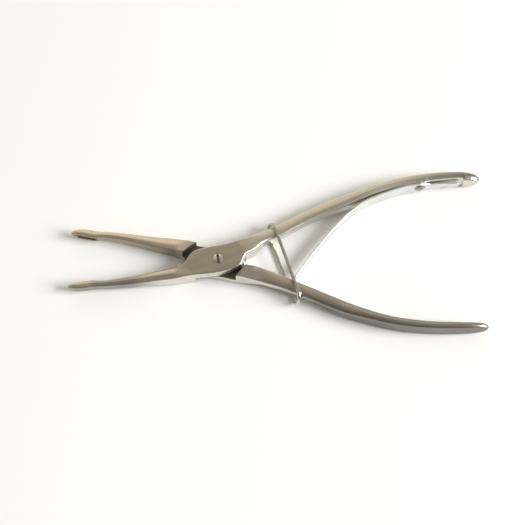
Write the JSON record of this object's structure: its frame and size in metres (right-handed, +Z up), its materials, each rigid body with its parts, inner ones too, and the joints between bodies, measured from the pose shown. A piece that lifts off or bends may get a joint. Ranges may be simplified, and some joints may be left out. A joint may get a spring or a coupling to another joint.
{
  "type": "spring-return grozing pliers",
  "caption": "Slender steel pliers with scooped jaw tips, a screwed lap joint, a leaf return spring and a sliding wire locking ring.",
  "frame": {"origin": "where the pivot axis meets the flat underside of the joint, which is the plane the pliers lie on", "axes": "+X from the pivot toward the handles, +Z up along the pivot axis, +Y toward the sprung handle"},
  "size_m": [0.1768, 0.073, 0.009],
  "materials": {
    "forged_steel_front": "satin, hand polished, warm grey",
    "forged_steel_back": "satin, hand polished, warm grey",
    "screw_steel": "polished, fine turning marks",
    "spring_steel": "bright rolled strip with grain along its length",
    "rivet_steel": "hammered dome, satin",
    "wire_steel": "bright drawn wire"
  },
  "bodies": {
    "back_half": {"back_member": "forged_steel_back", "pivot_screw": "screw_steel"},
    "front_half": {"front_member": "forged_steel_front", "leaf_spring": "spring_steel", "spring_rivet": "rivet_steel"},
    "ring": {"wire_ring": "wire_steel"}
  },
  "joints": [
    {"name": "handle_hinge", "type": "hinge", "parent": "back_half", "child": "front_half", "pos_m": [0, 0, 0], "axis": [0, 0, -1], "range_deg": [0, 20.5], "stiffness_Nm_per_rad": 2, "springref_deg": -5.73, "deforming": ["leaf_spring"]},
    {"name": "ring_slide", "type": "slide", "parent": "back_half", "child": "ring", "axis": [1, 0, 0], "range_m": [-0.003, 0.001]}
  ]
}
